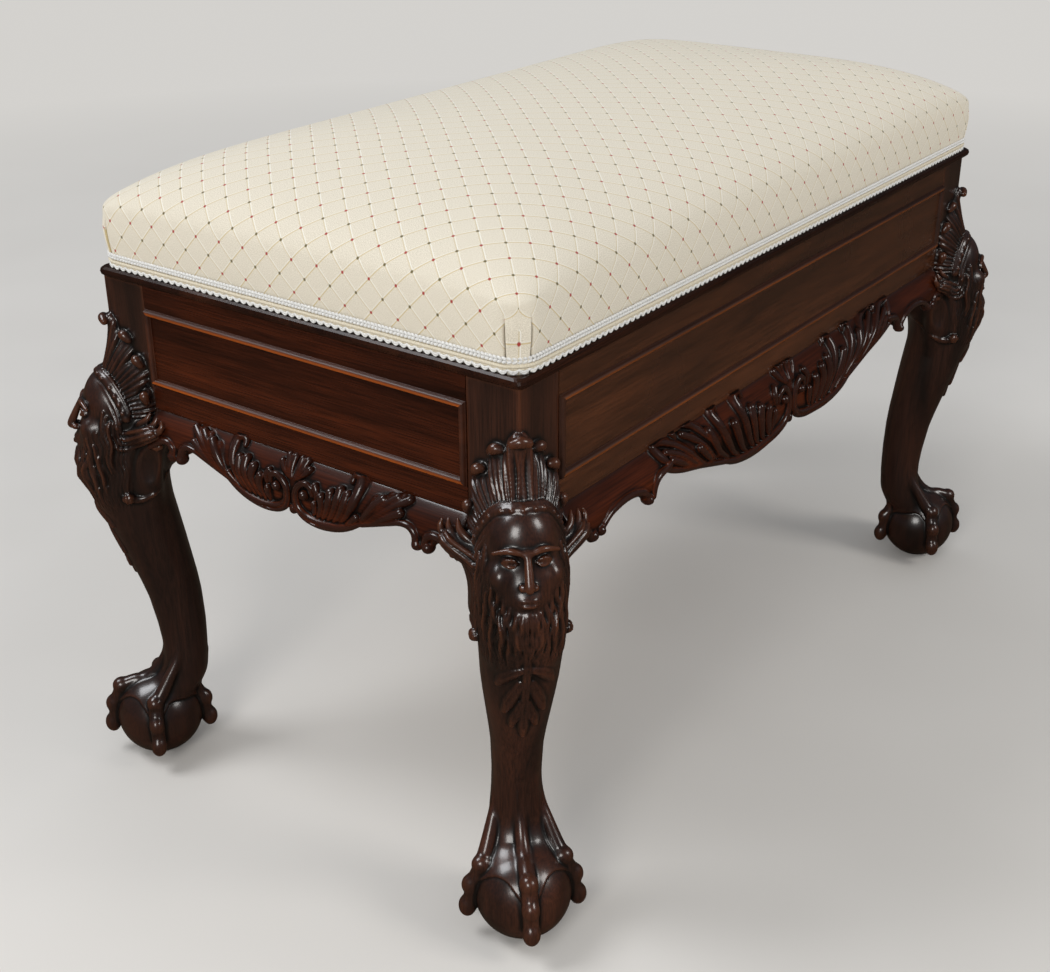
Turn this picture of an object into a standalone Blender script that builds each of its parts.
"""Window seat: a carved mahogany box on cabriole legs, with a hinged upholstered lid."""
import math

import bmesh
import bpy
from mathutils import Matrix, Vector

# Frame: +X along the long sides, -Y is the front, the floor is at z = 0, sizes are in metres
FRAME_LENGTH = 0.780
FRAME_DEPTH = 0.4245
FRAME_TOP = 0.467
FIT_GAP = 0.0003

# Corner posts and the mortise-and-tenon joints that hold the rails
POST_SIDE = 0.0464
POST_DROP = 0.142
RAIL_HEIGHT = 0.108
RAIL_THICKNESS = 0.022
TENON_LENGTH = 0.020
TENON_THICKNESS = 0.008
TENON_HEIGHT = 0.080

# Bead moulding planted as a rectangle on each rail
BEAD_TOP_DROP = 0.0206
BEAD_PANEL_HEIGHT = 0.0659
BEAD_WIDTH = 0.006
BEAD_PROUD = 0.0035

# Aprons: each half outline is (run, drop below the rail), from the centre line and then from the post
APRON_PROUD = 0.013
APRON_BACK = 0.017
APRON_SHOULDER = 0.016
APRON_TOP_PROUD = 0.004
APRON_EDGE_ROUND = 0.004
LONG_APRON_CENTRE = (
    (0.000, 0.054), (0.010, 0.049), (0.030, 0.053), (0.055, 0.058), (0.085, 0.056),
    (0.118, 0.052), (0.157, 0.034), (0.187, 0.028), (0.211, 0.023),
)
LONG_APRON_END = (
    (0.104, 0.036), (0.088, 0.026), (0.065, 0.023), (0.042, 0.026),
    (0.038, 0.034), (0.025, 0.0355), (0.010, 0.030), (0.000, 0.031),
)
SHORT_APRON_CENTRE = (
    (0.000, 0.045), (0.009, 0.039), (0.022, 0.045), (0.042, 0.049),
    (0.058, 0.042), (0.075, 0.035), (0.095, 0.027),
)
SHORT_APRON_END = (
    (0.054, 0.0235), (0.046, 0.026), (0.040, 0.037), (0.029, 0.0365),
    (0.021, 0.026), (0.010, 0.027), (0.000, 0.031),
)

# Acanthus fingers on the aprons: (run, drop) of the root, the bend and the tip, from the centre line
LONG_APRON_LEAVES = (
    ((0.008, 0.046), (0.018, 0.024), (0.027, 0.007)),
    ((0.034, 0.050), (0.040, 0.030), (0.045, 0.009)),
    ((0.056, 0.053), (0.072, 0.034), (0.088, 0.011)),
    ((0.086, 0.050), (0.112, 0.034), (0.134, 0.015)),
    ((0.122, 0.044), (0.160, 0.028), (0.205, 0.013)),
)
SHORT_APRON_LEAVES = (
    ((0.006, 0.039), (0.008, 0.020), (0.010, 0.005)),
    ((0.022, 0.043), (0.024, 0.024), (0.026, 0.007)),
    ((0.036, 0.044), (0.046, 0.028), (0.052, 0.012)),
    ((0.054, 0.038), (0.066, 0.026), (0.074, 0.017)),
    ((0.074, 0.030), (0.092, 0.021), (0.110, 0.012)),
)
LEAF_ROOT_RADIUS = 0.0065
LEAF_TIP_RADIUS = 0.0045
LONG_SCROLL_RUN = 0.031
LONG_SCROLL_DROP = 0.027
SHORT_SCROLL_RUN = 0.034
SHORT_SCROLL_DROP = 0.027
SCROLL_RADIUS = 0.010

# Cabriole leg, measured outwards along the diagonal from the post's outer corner
KNEE_TOP_DROP = 0.120
KNEE_TOP_FRONT = 0.018
KNEE_TOP_BACK = -0.050
KNEE_TOP_WIDTH = 0.056
KNEE_DROP = 0.172
KNEE_FRONT = 0.036
KNEE_BACK = -0.035
KNEE_WIDTH = 0.068
SHIN_DROP = 0.205
SHIN_FRONT = 0.033
SHIN_BACK = -0.035
SHIN_WIDTH = 0.064
ANKLE_HEIGHT = 0.112
ANKLE_FRONT = -0.010
ANKLE_BACK = -0.0505
ANKLE_WIDTH = 0.039
SHIN_CURVE = 1.7

# Ball-and-claw foot
BALL_OUT = 0.002
BALL_RADIUS = 0.040
BALL_CENTRE_HEIGHT = 0.037
CLAW_COUNT = 4
CUFF_HEIGHT = 0.082
CUFF_FRONT = 0.013
CUFF_BACK = -0.048
CUFF_WIDTH = 0.058
CLAW_ROOT_REACH = 0.015
CLAW_ROOT_RADIUS = 0.006
KNUCKLE_SPREAD = 0.0425
CLAW_KNUCKLES = ((0.070, 0.0105), (0.059, 0.008), (0.047, 0.0105), (0.035, 0.008), (0.023, 0.010), (0.008, 0.006))

# Carved mask on the knee: drops are below the frame's top
HEAD_OUT = 0.012
HEAD_DROP = 0.127
HEAD_RADII = (0.030, 0.031, 0.040)
NOSE_OUT = 0.040
NOSE_DROP = 0.131
NOSE_RADII = (0.008, 0.0065, 0.013)
BEARD_OUT = 0.022
BEARD_DROP = 0.163
BEARD_RADII = (0.024, 0.034, 0.028)
BAND_CENTRE_OUT = -0.008
BAND_REACH = 0.034
BAND_SIDE = 0.035
BAND_TOP_DROP = 0.092
BAND_FALL = 0.038
BAND_TURN = math.radians(72.0)
BAND_RADIUS = 0.0055
HANGING_LEAF_DROP = 0.285
HANGING_LEAF_RADIUS = 0.015
VOLUTE_OUT = 0.014
VOLUTE_SIDE = 0.034
VOLUTE_DROP = 0.186
VOLUTE_RADIUS = 0.008

# Feather tips: (out, side, drop), from the middle feather to the last one beside it
FEATHER_TIPS = ((0.005, 0.000, 0.044), (-0.008, 0.020, 0.060), (-0.019, 0.030, 0.082), (-0.018, 0.036, 0.112))
FEATHER_ROOT_RADIUS = 0.008
FEATHER_TIP_RADIUS = 0.0075

# Storage well
BEARER_SIDE = 0.012
BOTTOM_THICKNESS = 0.008

# Lid board
LID_THICKNESS = 0.008
LID_OVERHANG = 0.006
LID_NOSE = 0.0025
LID_CORNER = 0.006

# Upholstery on the lid
COVER_INSET = 0.004
COVER_THICKNESS = 0.0015
COVER_CORNER = 0.016
CUSHION_SIDE_HEIGHT = 0.052
CUSHION_CROWN = 0.046
CUSHION_BULGE = 0.0025
CROWN_POWER_LONG = 6.0
CROWN_POWER_SHORT = 3.6
CROWN_ROUND = 0.6
GIMP_HEIGHT = 0.0125
GIMP_THICKNESS = 0.002

# Butt hinges and their screws
HINGE_SPREAD = 0.440
HINGE_LENGTH = 0.064
HINGE_KNUCKLES = 5
KNUCKLE_RADIUS = 0.0035
PIN_RADIUS = 0.0015
PIN_CLEARANCE = 0.0002
LEAF_WIDTH = 0.018
LEAF_THICKNESS = 0.0015
SCREW_SPREAD = 0.040
SCREW_HEAD_RADIUS = 0.0027
SCREW_HEAD_HEIGHT = 0.0013
SCREW_RADIUS = 0.0014
SCREW_SUNK = 0.0001
SCREW_CLEARANCE = 0.0002
FRAME_SCREW_LENGTH = 0.014
LID_SCREW_LENGTH = 0.006

# Points round and along the faceted shapes
RING_POINTS = 12
STROKE_SIDES = 6
ROUND_POINTS = 10
CORNER_POINTS = 5
SHIN_STEPS = 5
BAND_STEPS = 8
CUT_MARGIN = 0.002
WELD_DISTANCE = 0.000002
FLAT_ANGLE = math.radians(0.2)

# Values that follow from the ones above
HALF_LENGTH = FRAME_LENGTH / 2
HALF_DEPTH = FRAME_DEPTH / 2
RAIL_BOTTOM = FRAME_TOP - RAIL_HEIGHT
LID_BOTTOM = FRAME_TOP + FIT_GAP
LID_TOP = LID_BOTTOM + LID_THICKNESS
LID_CENTRE_Y = -LID_OVERHANG / 2
LID_HALF_LENGTH = HALF_LENGTH + LID_OVERHANG
LID_HALF_DEPTH = HALF_DEPTH + LID_OVERHANG / 2
CUSHION_BASE = LID_TOP + FIT_GAP
HINGE_Y = HALF_DEPTH + KNUCKLE_RADIUS + FIT_GAP
HINGE_Z = FRAME_TOP + FIT_GAP / 2
CORNERS = {
    "front_left": (-1, -1),
    "front_right": (1, -1),
    "rear_left": (-1, 1),
    "rear_right": (1, 1),
}


def clear_scene():
    for item in list(bpy.data.objects):
        bpy.data.objects.remove(item, do_unlink=True)


def make_material(name, colour, roughness, metallic=0.0):
    material = bpy.data.materials.new(name)
    material.use_nodes = True
    shader = material.node_tree.nodes["Principled BSDF"]
    shader.inputs["Base Color"].default_value = (*colour, 1.0)
    shader.inputs["Roughness"].default_value = roughness
    shader.inputs["Metallic"].default_value = metallic
    return material


def mesh_from(name, bm):
    """Close a bmesh into a mesh whose faces all point out."""
    bmesh.ops.recalc_face_normals(bm, faces=bm.faces)
    mesh = bpy.data.meshes.new(name)
    bm.to_mesh(mesh)
    bm.free()
    return mesh


def add_node(name, mesh, material, location=(0.0, 0.0, 0.0), turn=0.0, parent=None):
    """Place one named piece, turned about Z; a child of an empty keeps its world place."""
    node = bpy.data.objects.new(name, mesh)
    bpy.context.scene.collection.objects.link(node)
    node.location = location
    node.rotation_euler = (0.0, 0.0, turn)
    if parent is not None:
        node.parent = parent
        node.matrix_parent_inverse = Matrix.Translation(parent.location).inverted()
    if not mesh.materials:
        mesh.materials.append(material)
    return node


def combine(mesh, tool, operation, overlapping=False):
    """Return the Boolean of two meshes; overlapping marks a tool made of shells that cross."""
    body = add_node("boolean_body", mesh, None)
    cutter = add_node("boolean_tool", tool, None)
    modifier = body.modifiers.new(operation, "BOOLEAN")
    modifier.operation = operation
    modifier.object = cutter
    modifier.solver = "EXACT"
    modifier.use_self = overlapping
    graph = bpy.context.evaluated_depsgraph_get()
    result = bpy.data.meshes.new_from_object(body.evaluated_get(graph))
    result.name = mesh.name
    result.materials.clear()
    bm = bmesh.new()
    bm.from_mesh(result)
    bmesh.ops.remove_doubles(bm, verts=bm.verts, dist=WELD_DISTANCE)
    bmesh.ops.dissolve_limit(bm, angle_limit=FLAT_ANGLE, verts=bm.verts, edges=bm.edges)
    bm.to_mesh(result)
    bm.free()
    for spent in (body, cutter):
        bpy.data.objects.remove(spent, do_unlink=True)
    return result


def add_box(bm, low, high):
    """Add an axis-aligned box between two corners."""
    size = Vector(high) - Vector(low)
    middle = (Vector(high) + Vector(low)) / 2
    matrix = Matrix.Translation(middle) @ Matrix.Diagonal((*size, 1.0))
    bmesh.ops.create_cube(bm, size=1.0, matrix=matrix)


def box_mesh(name, low, high):
    bm = bmesh.new()
    add_box(bm, low, high)
    return mesh_from(name, bm)


def add_loft(bm, rings):
    """Skin a list of rings that have equal point counts, with a cap on each end."""
    loops = [[bm.verts.new(point) for point in ring] for ring in rings]
    count = len(loops[0])
    for lower, upper in zip(loops, loops[1:]):
        for i in range(count):
            j = (i + 1) % count
            bm.faces.new((lower[i], lower[j], upper[j], upper[i]))
    bm.faces.new(loops[0][::-1])
    bm.faces.new(loops[-1])


def add_stroke(bm, points, radii, sides=STROKE_SIDES):
    """Add a round bar along points, with its own radius at each."""
    points = [Vector(point) for point in points]
    side = Vector((0.0, 0.0, 1.0))
    rings = []
    for i, point in enumerate(points):
        ahead = points[min(i + 1, len(points) - 1)]
        behind = points[max(i - 1, 0)]
        along = (ahead - behind).normalized()
        if abs(along.dot(side)) > 0.9:
            side = Vector((0.0, 1.0, 0.0))
        side = (side - along * along.dot(side)).normalized()
        across = along.cross(side)
        turns = [2 * math.pi * k / sides for k in range(sides)]
        rings.append([point + radii[i] * (math.cos(t) * side + math.sin(t) * across) for t in turns])
    add_loft(bm, rings)


def add_ellipsoid(bm, centre, radii, around, rows):
    matrix = Matrix.Translation(centre) @ Matrix.Diagonal((*radii, 1.0))
    bmesh.ops.create_uvsphere(bm, u_segments=around, v_segments=rows, radius=1.0, matrix=matrix)


def add_turned(bm, profile, axis, centre, sides=ROUND_POINTS):
    """Turn (distance along the axis, radius) pairs about a line through centre."""
    axis = Vector(axis)
    side = axis.orthogonal().normalized()
    across = axis.cross(side)
    rings = []
    for along, radius in profile:
        turns = [2 * math.pi * k / sides for k in range(sides)]
        middle = Vector(centre) + axis * along
        rings.append([middle + radius * (math.cos(t) * side + math.sin(t) * across) for t in turns])
    add_loft(bm, rings)


def leg_section(height, front, back, width):
    middle = (front + back) / 2
    reach = (front - back) / 2
    turns = [2 * math.pi * k / RING_POINTS for k in range(RING_POINTS)]
    return [(middle + reach * math.cos(t), width / 2 * math.sin(t), height) for t in turns]


def shin_sections():
    """Leg sections from the knee down to the inside of the ball."""
    knee_top = FRAME_TOP - KNEE_TOP_DROP
    sections = [
        leg_section(knee_top, KNEE_TOP_FRONT, KNEE_TOP_BACK, KNEE_TOP_WIDTH),
        leg_section(FRAME_TOP - KNEE_DROP, KNEE_FRONT, KNEE_BACK, KNEE_WIDTH),
    ]
    shin_top = FRAME_TOP - SHIN_DROP
    for k in range(SHIN_STEPS + 1):
        t = k / SHIN_STEPS
        left = (1 - t) ** SHIN_CURVE
        height = shin_top + (ANKLE_HEIGHT - shin_top) * t
        front = ANKLE_FRONT + (SHIN_FRONT - ANKLE_FRONT) * left
        back = ANKLE_BACK + (SHIN_BACK - ANKLE_BACK) * left
        width = ANKLE_WIDTH + (SHIN_WIDTH - ANKLE_WIDTH) * left
        sections.append(leg_section(height, front, back, width))
    sections.append(leg_section(CUFF_HEIGHT, CUFF_FRONT, CUFF_BACK, CUFF_WIDTH))
    root = BALL_RADIUS / 2
    sections.append(leg_section(BALL_CENTRE_HEIGHT, BALL_OUT + root, BALL_OUT - root, 2 * root))
    return sections


def add_foot(bm):
    """Ball gripped by claws whose knuckles swell along each toe."""
    centre = (BALL_OUT, 0.0, BALL_CENTRE_HEIGHT)
    add_ellipsoid(bm, centre, (BALL_RADIUS, BALL_RADIUS, BALL_CENTRE_HEIGHT + CUT_MARGIN), RING_POINTS, 8)
    ankle_out = (ANKLE_FRONT + ANKLE_BACK) / 2
    for k in range(CLAW_COUNT):
        turn = 2 * math.pi * k / CLAW_COUNT
        way = Vector((math.cos(turn), math.sin(turn), 0.0))
        root = Vector((ankle_out, 0.0, ANKLE_HEIGHT)) + way * CLAW_ROOT_REACH
        points = [root]
        radii = [CLAW_ROOT_RADIUS]
        for height, radius in CLAW_KNUCKLES:
            lift = (height - BALL_CENTRE_HEIGHT) / BALL_RADIUS
            spread = KNUCKLE_SPREAD * math.sqrt(max(1 - 0.6 * lift * lift, 0.1))
            points.append(Vector((BALL_OUT, 0.0, height)) + way * spread)
            radii.append(radius)
        points.append(points[-1] - Vector((0.0, 0.0, CLAW_KNUCKLES[-1][0] + CUT_MARGIN)))
        radii.append(CLAW_KNUCKLES[-1][1] / 2)
        add_stroke(bm, points, radii)


def band_point(turn):
    """A place on the arched band over the forehead."""
    out = BAND_CENTRE_OUT + BAND_REACH * math.cos(turn)
    drop = BAND_TOP_DROP + BAND_FALL * (1 - math.cos(turn))
    return Vector((out, BAND_SIDE * math.sin(turn), FRAME_TOP - drop))


def add_mask(bm):
    """Head, nose, beard, band and feathers of the mask, and the leaf that hangs on the shin."""
    add_ellipsoid(bm, (HEAD_OUT, 0.0, FRAME_TOP - HEAD_DROP), HEAD_RADII, RING_POINTS, 8)
    add_ellipsoid(bm, (NOSE_OUT, 0.0, FRAME_TOP - NOSE_DROP), NOSE_RADII, STROKE_SIDES, 4)
    add_ellipsoid(bm, (BEARD_OUT, 0.0, FRAME_TOP - BEARD_DROP), BEARD_RADII, RING_POINTS, 6)
    turns = [BAND_TURN * (2 * k / BAND_STEPS - 1) for k in range(BAND_STEPS + 1)]
    add_stroke(bm, [band_point(turn) for turn in turns], [BAND_RADIUS] * len(turns))
    last = len(FEATHER_TIPS) - 1
    for k, (out, side, drop) in enumerate(FEATHER_TIPS):
        for way in ((1,) if side == 0 else (1, -1)):
            root = band_point(way * BAND_TURN * k / last * 0.9)
            tip = Vector((out, way * side, FRAME_TOP - drop))
            middle = root.lerp(tip, 0.55)
            radii = [FEATHER_ROOT_RADIUS, FEATHER_ROOT_RADIUS, FEATHER_TIP_RADIUS, FEATHER_TIP_RADIUS / 2]
            end = tip + (tip - middle).normalized() * FEATHER_TIP_RADIUS * 0.7
            add_stroke(bm, [root, middle, tip, end], radii)
    leaf_foot = FRAME_TOP - HANGING_LEAF_DROP
    leaf_top = Vector((BEARD_OUT, 0.0, FRAME_TOP - BEARD_DROP))
    leaf_tip = Vector((SHIN_FRONT - (SHIN_FRONT - ANKLE_FRONT) * 0.75, 0.0, leaf_foot))
    leaf_middle = Vector((SHIN_FRONT - HANGING_LEAF_RADIUS, 0.0, FRAME_TOP - SHIN_DROP))
    add_stroke(bm, [leaf_top, leaf_middle, leaf_tip], [HANGING_LEAF_RADIUS, HANGING_LEAF_RADIUS, FEATHER_TIP_RADIUS])
    for way in (1, -1):
        place = (VOLUTE_OUT, way * VOLUTE_SIDE, FRAME_TOP - VOLUTE_DROP)
        add_ellipsoid(bm, place, (VOLUTE_RADIUS,) * 3, STROKE_SIDES, 4)


def make_leg_mesh():
    """One leg with its post, outwards along local +X, with the post's outer edge on local Z."""
    bm = bmesh.new()
    add_box(bm, (-POST_SIDE, -POST_SIDE, FRAME_TOP - POST_DROP), (0.0, 0.0, FRAME_TOP))
    bmesh.ops.rotate(bm, verts=bm.verts, cent=(0, 0, 0), matrix=Matrix.Rotation(-math.pi / 4, 3, "Z"))
    leg = mesh_from("leg", bm)
    bm = bmesh.new()
    add_loft(bm, shin_sections())
    add_foot(bm)
    add_mask(bm)
    leg = combine(leg, mesh_from("carving", bm), "UNION", overlapping=True)
    bm = bmesh.new()
    low = RAIL_BOTTOM + (RAIL_HEIGHT - TENON_HEIGHT) / 2 - FIT_GAP
    high = FRAME_TOP - (RAIL_HEIGHT - TENON_HEIGHT) / 2 + FIT_GAP
    near = -(RAIL_THICKNESS - TENON_THICKNESS) / 2 + FIT_GAP
    far = -(RAIL_THICKNESS + TENON_THICKNESS) / 2 - FIT_GAP
    deep = -POST_SIDE + TENON_LENGTH + FIT_GAP
    mouth = -POST_SIDE - CUT_MARGIN
    add_box(bm, (mouth, far, low), (deep, near, high))
    add_box(bm, (far, mouth, low), (near, deep, high))
    bmesh.ops.rotate(bm, verts=bm.verts, cent=(0, 0, 0), matrix=Matrix.Rotation(-math.pi / 4, 3, "Z"))
    reach = 2 * BALL_RADIUS
    add_box(bm, (-reach, -reach, -reach), (reach, reach, 0.0))
    return combine(leg, mesh_from("leg_cuts", bm), "DIFFERENCE")


def make_rail_mesh(name, half_span):
    """A rail along X with a tenon on each end; its outer face is at local y = 0."""
    body_half = half_span - POST_SIDE - FIT_GAP
    rail = box_mesh(name, (-body_half, 0.0, RAIL_BOTTOM), (body_half, RAIL_THICKNESS, FRAME_TOP))
    low = RAIL_BOTTOM + (RAIL_HEIGHT - TENON_HEIGHT) / 2
    near = (RAIL_THICKNESS - TENON_THICKNESS) / 2
    reach = half_span - POST_SIDE + TENON_LENGTH
    tenons = box_mesh("tenons", (-reach, near, low), (reach, near + TENON_THICKNESS, low + TENON_HEIGHT))
    return combine(rail, tenons, "UNION")


def make_bead_mesh(name, half_run, upright):
    """A half-round strip with mitred ends, flat on local y = 0 and proud towards -Y."""
    across = [0.0, 0.0, BEAD_WIDTH * 0.3, BEAD_WIDTH * 0.7, BEAD_WIDTH, BEAD_WIDTH]
    proud = [0.0, BEAD_PROUD * 0.6, BEAD_PROUD, BEAD_PROUD, BEAD_PROUD * 0.6, 0.0]
    rings = []
    for way in (-1, 1):
        ring = []
        for inward, out in zip(across, proud):
            run = way * (half_run - inward)
            ring.append((inward, -out, run) if upright else (run, -out, -inward))
        rings.append(ring)
    bm = bmesh.new()
    add_loft(bm, rings)
    return mesh_from(name, bm)


def apron_outline(half_span, centre_points, end_points):
    """Lower edge of an apron as (run, drop) over its whole length."""
    half_run = half_span - POST_SIDE - FIT_GAP
    half = list(centre_points) + [(half_run - run, drop) for run, drop in end_points]
    left = [(-run, drop) for run, drop in half[:0:-1]]
    return left + half


def make_apron_mesh(name, half_span, centre_points, end_points, leaves, scroll_run, scroll_drop):
    """A carved apron along X; the rail's face is at local y = 0 and the apron stands proud towards -Y."""
    top = RAIL_BOTTOM - FIT_GAP
    rings = []
    for run, drop in apron_outline(half_span, centre_points, end_points):
        low = RAIL_BOTTOM - drop
        section = (
            (APRON_BACK, top),
            (-APRON_TOP_PROUD, top),
            (-(APRON_TOP_PROUD + APRON_PROUD * 2) / 3, top - APRON_SHOULDER / 2),
            (-APRON_PROUD, top - APRON_SHOULDER),
            (-APRON_PROUD, low + APRON_EDGE_ROUND),
            (-APRON_PROUD + APRON_EDGE_ROUND, low),
            (APRON_BACK, low),
        )
        rings.append([(run, y, z) for y, z in section])
    bm = bmesh.new()
    add_loft(bm, rings)
    apron = mesh_from(name, bm)
    bm = bmesh.new()
    for way in (1, -1):
        for leaf in leaves:
            points = [(way * run, -APRON_PROUD, RAIL_BOTTOM - drop) for run, drop in leaf]
            add_stroke(bm, points, [LEAF_ROOT_RADIUS, LEAF_ROOT_RADIUS, LEAF_TIP_RADIUS])
        place = (way * scroll_run, -APRON_PROUD, RAIL_BOTTOM - scroll_drop)
        add_ellipsoid(bm, place, (SCROLL_RADIUS, LEAF_ROOT_RADIUS, SCROLL_RADIUS), 8, 4)
    return combine(apron, mesh_from("leaves", bm), "UNION", overlapping=True)


def build_sides(wood, carved):
    """Rails, aprons and bead mouldings on all four sides."""
    sides = {
        "front": (0.0, HALF_LENGTH, HALF_DEPTH),
        "right": (math.pi / 2, HALF_DEPTH, HALF_LENGTH),
        "rear": (math.pi, HALF_LENGTH, HALF_DEPTH),
        "left": (-math.pi / 2, HALF_DEPTH, HALF_LENGTH),
    }
    long_apron = make_apron_mesh("long_apron", HALF_LENGTH, LONG_APRON_CENTRE, LONG_APRON_END,
                                 LONG_APRON_LEAVES, LONG_SCROLL_RUN, LONG_SCROLL_DROP)
    short_apron = make_apron_mesh("short_apron", HALF_DEPTH, SHORT_APRON_CENTRE, SHORT_APRON_END,
                                  SHORT_APRON_LEAVES, SHORT_SCROLL_RUN, SHORT_SCROLL_DROP)
    for side, (turn, half_span, distance) in sides.items():
        spin = Matrix.Rotation(turn, 3, "Z")
        place = spin @ Vector((0.0, -distance, 0.0))
        rail = make_rail_mesh(side + "_rail", half_span)
        if side == "rear":
            rail = cut_hinge_seats(rail, Matrix.Rotation(-turn, 4, "Z") @ Matrix.Translation(-place))
        add_node(side + "_rail", rail, wood, place, turn)
        add_node(side + "_apron", long_apron if half_span == HALF_LENGTH else short_apron, carved, place, turn)
        half_run = half_span - POST_SIDE - FIT_GAP
        half_rise = BEAD_PANEL_HEIGHT / 2
        middle = FRAME_TOP - BEAD_TOP_DROP - half_rise
        flat = make_bead_mesh(side + "_bead_flat", half_run - FIT_GAP, False)
        upright = make_bead_mesh(side + "_bead_upright", half_rise - FIT_GAP, True)
        face = -FIT_GAP
        beads = {
            "top": (flat, Vector((0.0, face, middle + half_rise)), 0.0),
            "bottom": (flat, Vector((0.0, face, middle - half_rise)), math.pi),
            "start": (upright, Vector((-half_run, face, middle)), 0.0),
            "end": (upright, Vector((half_run, face, middle)), math.pi),
        }
        for edge, (mesh, spot, roll) in beads.items():
            node = add_node(side + "_bead_" + edge, mesh, carved, place + spin @ spot, turn)
            node.rotation_euler = (Matrix.Rotation(turn, 3, "Z") @ Matrix.Rotation(roll, 3, "Y")).to_euler()


def build_legs(carved):
    mesh = make_leg_mesh()
    for corner, (way_x, way_y) in CORNERS.items():
        add_node("leg_" + corner, mesh, carved, (way_x * HALF_LENGTH, way_y * HALF_DEPTH, 0.0), math.atan2(way_y, way_x))


def build_well(wood):
    """Bearers inside the rails, and the bottom board that lies on them between the posts."""
    inner_x = HALF_LENGTH - RAIL_THICKNESS - FIT_GAP
    inner_y = HALF_DEPTH - RAIL_THICKNESS - FIT_GAP
    run_x = HALF_LENGTH - POST_SIDE - FIT_GAP
    run_y = HALF_DEPTH - POST_SIDE - FIT_GAP
    top = RAIL_BOTTOM + BEARER_SIDE
    for name, way in (("front", -1), ("rear", 1)):
        ys = sorted((way * inner_y, way * (inner_y - BEARER_SIDE)))
        mesh = box_mesh(name + "_bearer", (-run_x, ys[0], RAIL_BOTTOM), (run_x, ys[1], top))
        add_node(name + "_bearer", mesh, wood)
    for name, way in (("left", -1), ("right", 1)):
        xs = sorted((way * inner_x, way * (inner_x - BEARER_SIDE)))
        mesh = box_mesh(name + "_bearer", (xs[0], -run_y, RAIL_BOTTOM), (xs[1], run_y, top))
        add_node(name + "_bearer", mesh, wood)
    low = top + FIT_GAP
    high = low + BOTTOM_THICKNESS
    board = box_mesh("bottom_board", (-inner_x, -run_y, low), (inner_x, run_y, high))
    wings = box_mesh("wings", (-run_x, -inner_y, low), (run_x, inner_y, high))
    add_node("bottom_board", combine(board, wings, "UNION"), wood)


def rounded_rectangle(half_x, half_y, radius, height, centre_y):
    """Points round a rectangle with round corners, and a few along each straight side."""
    points = []
    for quarter, (way_x, way_y) in enumerate(((1, 1), (-1, 1), (-1, -1), (1, -1))):
        middle = Vector((way_x * (half_x - radius), centre_y + way_y * (half_y - radius), height))
        for k in range(CORNER_POINTS):
            turn = math.pi / 2 * (quarter + k / (CORNER_POINTS - 1))
            points.append(middle + radius * Vector((math.cos(turn), math.sin(turn), 0.0)))
    filled = []
    for k, point in enumerate(points):
        ahead = points[(k + 1) % len(points)]
        filled.append(point)
        if k % CORNER_POINTS == CORNER_POINTS - 1:
            filled.extend(point.lerp(ahead, step / 5) for step in range(1, 5))
    return filled


def cushion_rings():
    """Rings of the cover's outside from the lid up to the middle of the crown."""
    half_x = LID_HALF_LENGTH - COVER_INSET
    half_y = LID_HALF_DEPTH - COVER_INSET
    rings = []
    for share, swell in ((0.0, 0.0), (0.3, 0.0), (0.6, 1.0), (1.0, 0.4)):
        out = CUSHION_BULGE * swell
        height = CUSHION_BASE + share * CUSHION_SIDE_HEIGHT
        rings.append(rounded_rectangle(half_x + out, half_y + out, COVER_CORNER + out, height, LID_CENTRE_Y))
    edge = rings[-1]
    for share in (0.985, 0.95, 0.88, 0.74, 0.5, 0.22):
        ring = []
        for point in edge:
            along = share * point.x
            across = share * (point.y - LID_CENTRE_Y)
            rise_x = (1 - (abs(along) / half_x) ** CROWN_POWER_LONG) ** CROWN_ROUND
            rise_y = (1 - (abs(across) / half_y) ** CROWN_POWER_SHORT) ** CROWN_ROUND
            ring.append(Vector((along, across + LID_CENTRE_Y, point.z + CUSHION_CROWN * rise_x * rise_y)))
        rings.append(ring)
    return rings


def cushion_mesh(name, inset, sink):
    """The crowned form drawn in along its normals by inset, with its base lowered by sink."""
    bm = bmesh.new()
    add_loft(bm, cushion_rings())
    bmesh.ops.triangulate(bm, faces=bm.faces)
    bmesh.ops.recalc_face_normals(bm, faces=bm.faces)
    bm.normal_update()
    base = CUSHION_BASE + FIT_GAP / 2
    moves = []
    for vert in bm.verts:
        way = vert.normal.copy()
        fall = 0.0
        if vert.co.z < base:
            way.z = 0.0
            way.normalize()
            fall = sink
        moves.append(vert.co - inset * way - Vector((0.0, 0.0, fall)))
    for vert, place in zip(bm.verts, moves):
        vert.co = place
    return mesh_from(name, bm)


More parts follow.
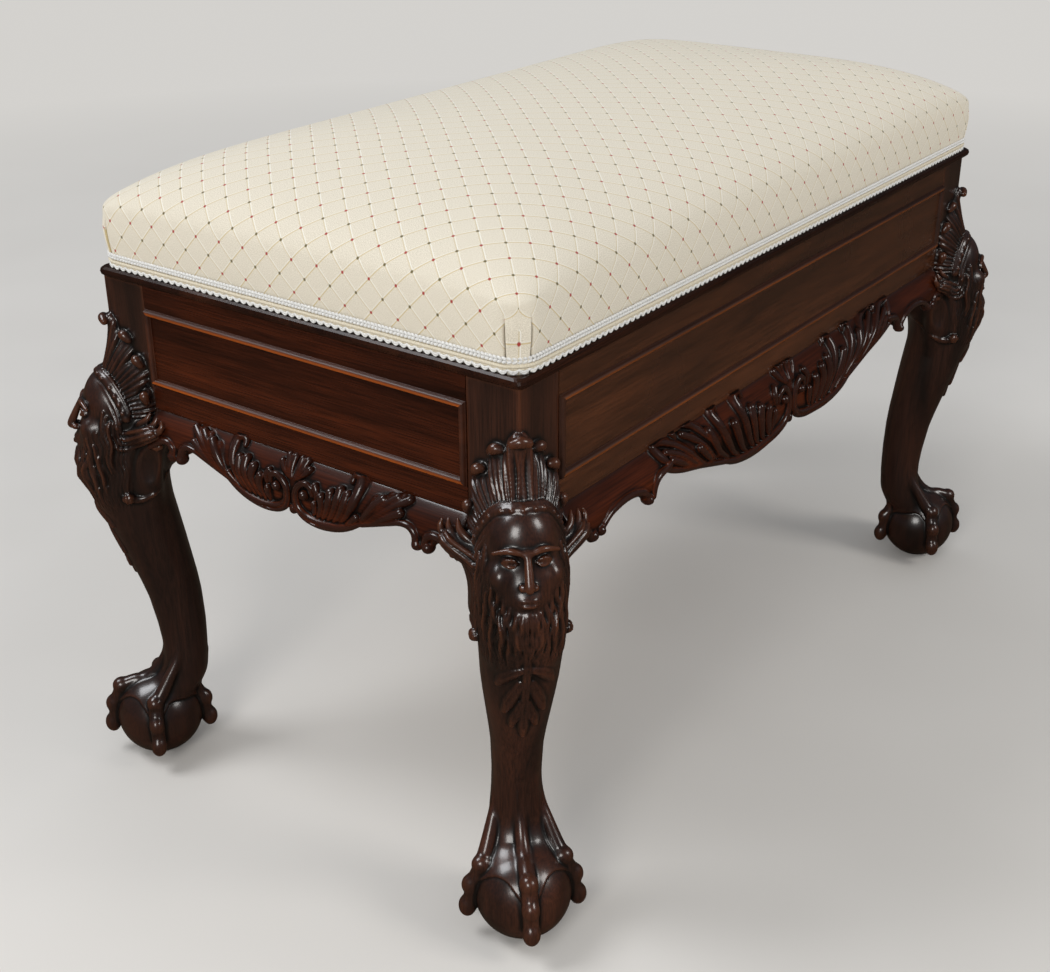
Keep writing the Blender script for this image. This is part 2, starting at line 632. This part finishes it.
def build_lid(wood, stuffing, fabric, braid, parent):
    """Lid board with its nose, and the stuffing, cover and braid on it."""
    bm = bmesh.new()
    nose = ((0.0, 1.0), (0.2, 0.25), (0.5, 0.0), (0.8, 0.25), (1.0, 1.0))
    rings = []
    for share, draw in nose:
        inset = LID_NOSE * draw
        height = LID_BOTTOM + LID_THICKNESS * share
        ring = rounded_rectangle(LID_HALF_LENGTH - inset, LID_HALF_DEPTH - inset, LID_CORNER, height, LID_CENTRE_Y)
        rings.append(ring)
    add_loft(bm, rings)
    board = cut_hinge_seats(mesh_from("lid_board", bm), Matrix.Identity(4))
    add_node("lid_board", board, wood, parent=parent)
    padding = cushion_mesh("seat_stuffing", COVER_THICKNESS + FIT_GAP, 0.0)
    add_node("seat_stuffing", padding, stuffing, parent=parent)
    hollow = cushion_mesh("cover_hollow", COVER_THICKNESS, CUT_MARGIN)
    cover = combine(cushion_mesh("seat_cover", 0.0, 0.0), hollow, "DIFFERENCE")
    add_node("seat_cover", cover, fabric, parent=parent)
    inner = FIT_GAP - COVER_INSET
    outer = inner + GIMP_THICKNESS
    bands = []
    for low, high, out in ((0.0, GIMP_HEIGHT, outer), (-CUT_MARGIN, GIMP_HEIGHT + CUT_MARGIN, inner)):
        bm = bmesh.new()
        half = (LID_HALF_LENGTH + out, LID_HALF_DEPTH + out)
        corner = COVER_CORNER + COVER_INSET + out
        heights = (CUSHION_BASE + low, CUSHION_BASE + high)
        add_loft(bm, [rounded_rectangle(*half, corner, height, LID_CENTRE_Y) for height in heights])
        bands.append(mesh_from("gimp_braid", bm))
    add_node("gimp_braid", combine(bands[0], bands[1], "DIFFERENCE"), braid, parent=parent)


def screw_profile(length, spare, lead):
    """Countersunk screw as (depth, radius), with spare room all round and a lead above the head."""
    profile = [
        (SCREW_SUNK, SCREW_HEAD_RADIUS + spare),
        (SCREW_SUNK + SCREW_HEAD_HEIGHT, SCREW_RADIUS + spare),
        (length + spare, SCREW_RADIUS + spare),
    ]
    if lead > 0:
        profile.insert(0, (-lead, SCREW_HEAD_RADIUS + spare))
    return profile


def hinge_places():
    return {"left": -HINGE_SPREAD / 2, "right": HINGE_SPREAD / 2}


def screw_places(middle):
    y = HALF_DEPTH - LEAF_WIDTH / 2
    return [(middle - SCREW_SPREAD / 2, y), (middle + SCREW_SPREAD / 2, y)]


def cut_hinge_seats(mesh, to_local):
    """Sink the leaf seats and the screw holes into the rear rail or the lid board."""
    bm = bmesh.new()
    for middle in hinge_places().values():
        half = HINGE_LENGTH / 2 + FIT_GAP
        deep = LEAF_THICKNESS + FIT_GAP
        front = HALF_DEPTH - LEAF_WIDTH - FIT_GAP
        add_box(bm, (middle - half, front, FRAME_TOP - deep), (middle + half, HINGE_Y, LID_BOTTOM + deep))
    seats = mesh_from("hinge_seats", bm)
    bm = bmesh.new()
    for middle in hinge_places().values():
        for x, y in screw_places(middle):
            down = screw_profile(FRAME_SCREW_LENGTH, SCREW_CLEARANCE, 0.0)[1:]
            add_turned(bm, down, (0, 0, -1), (x, y, FRAME_TOP))
            up = screw_profile(LID_SCREW_LENGTH, SCREW_CLEARANCE, 0.0)[1:]
            add_turned(bm, up, (0, 0, 1), (x, y, LID_BOTTOM))
    holes = mesh_from("screw_holes", bm)
    for tool in (seats, holes):
        tool.transform(to_local)
        mesh = combine(mesh, tool, "DIFFERENCE")
    return mesh


def make_leaf_mesh(name, middle, way, own):
    """A hinge leaf; way is -1 for the frame's leaf and 1 for the lid's, own lists its knuckles."""
    face = FRAME_TOP if way < 0 else LID_BOTTOM
    levels = sorted((face, face + way * LEAF_THICKNESS))
    half = HINGE_LENGTH / 2
    front = HALF_DEPTH - LEAF_WIDTH
    rear = HINGE_Y - KNUCKLE_RADIUS - FIT_GAP
    leaf = box_mesh(name, (middle - half, front, levels[0]), (middle + half, rear, levels[1]))
    pitch = HINGE_LENGTH / HINGE_KNUCKLES
    bm = bmesh.new()
    for k in own:
        start = middle - half + k * pitch + FIT_GAP / 2
        end = start + pitch - FIT_GAP
        web_rear = HINGE_Y - PIN_RADIUS - PIN_CLEARANCE - FIT_GAP
        add_box(bm, (start, rear - LEAF_THICKNESS, levels[0]), (end, web_rear, levels[1]))
        add_turned(bm, ((0.0, KNUCKLE_RADIUS), (end - start, KNUCKLE_RADIUS)), (1, 0, 0), (start, HINGE_Y, HINGE_Z))
    leaf = combine(leaf, mesh_from("knuckles", bm), "UNION", overlapping=True)
    bm = bmesh.new()
    bore = PIN_RADIUS + PIN_CLEARANCE
    ends = ((-half - CUT_MARGIN, bore), (half + CUT_MARGIN, bore))
    add_turned(bm, ends, (1, 0, 0), (middle, HINGE_Y, HINGE_Z))
    leaf = combine(leaf, mesh_from("bore", bm), "DIFFERENCE")
    bm = bmesh.new()
    length = FRAME_SCREW_LENGTH if way < 0 else LID_SCREW_LENGTH
    for x, y in screw_places(middle):
        add_turned(bm, screw_profile(length, SCREW_CLEARANCE, CUT_MARGIN), (0, 0, way), (x, y, face))
    return combine(leaf, mesh_from("leaf_holes", bm), "DIFFERENCE")


def build_hinges(brass, parent):
    """Two butt hinges: the pin stays with the frame's leaf."""
    for side, middle in hinge_places().items():
        name = "hinge_" + side
        fixed = range(0, HINGE_KNUCKLES, 2)
        moving = range(1, HINGE_KNUCKLES, 2)
        add_node(name + "_frame_leaf", make_leaf_mesh(name + "_frame_leaf", middle, -1, fixed), brass)
        leaf = make_leaf_mesh(name + "_lid_leaf", middle, 1, moving)
        add_node(name + "_lid_leaf", leaf, brass, parent=parent)
        bm = bmesh.new()
        half = HINGE_LENGTH / 2
        add_turned(bm, ((-half, PIN_RADIUS), (half, PIN_RADIUS)), (1, 0, 0), (middle, HINGE_Y, HINGE_Z))
        add_node(name + "_pin", mesh_from(name + "_pin", bm), brass)
        for k, (x, y) in enumerate(screw_places(middle), start=1):
            for owner, way, face, length in (
                ("frame", -1, FRAME_TOP, FRAME_SCREW_LENGTH),
                ("lid", 1, LID_BOTTOM, LID_SCREW_LENGTH),
            ):
                bm = bmesh.new()
                add_turned(bm, screw_profile(length, 0.0, 0.0), (0, 0, way), (x, y, face))
                label = f"{name}_{owner}_screw_{k}"
                add_node(label, mesh_from(label, bm), brass, parent=parent if owner == "lid" else None)


def main():
    clear_scene()
    carved = make_material("carved_mahogany", (0.055, 0.018, 0.010), 0.3)
    wood = make_material("polished_mahogany", (0.10, 0.030, 0.014), 0.25)
    pine = make_material("well_timber", (0.30, 0.18, 0.09), 0.6)
    stuffing = make_material("stuffing", (0.62, 0.55, 0.42), 0.9)
    fabric = make_material("trellis_fabric", (0.72, 0.63, 0.46), 0.85)
    braid = make_material("gimp_yarn", (0.78, 0.72, 0.60), 0.8)
    brass = make_material("brass", (0.65, 0.45, 0.18), 0.35, 1.0)
    hinge_axis = bpy.data.objects.new("lid_hinge_axis", None)
    hinge_axis.location = (0.0, HINGE_Y, HINGE_Z)
    bpy.context.scene.collection.objects.link(hinge_axis)
    build_legs(carved)
    build_sides(wood, carved)
    build_well(pine)
    build_lid(wood, stuffing, fabric, braid, hinge_axis)
    build_hinges(brass, hinge_axis)


main()
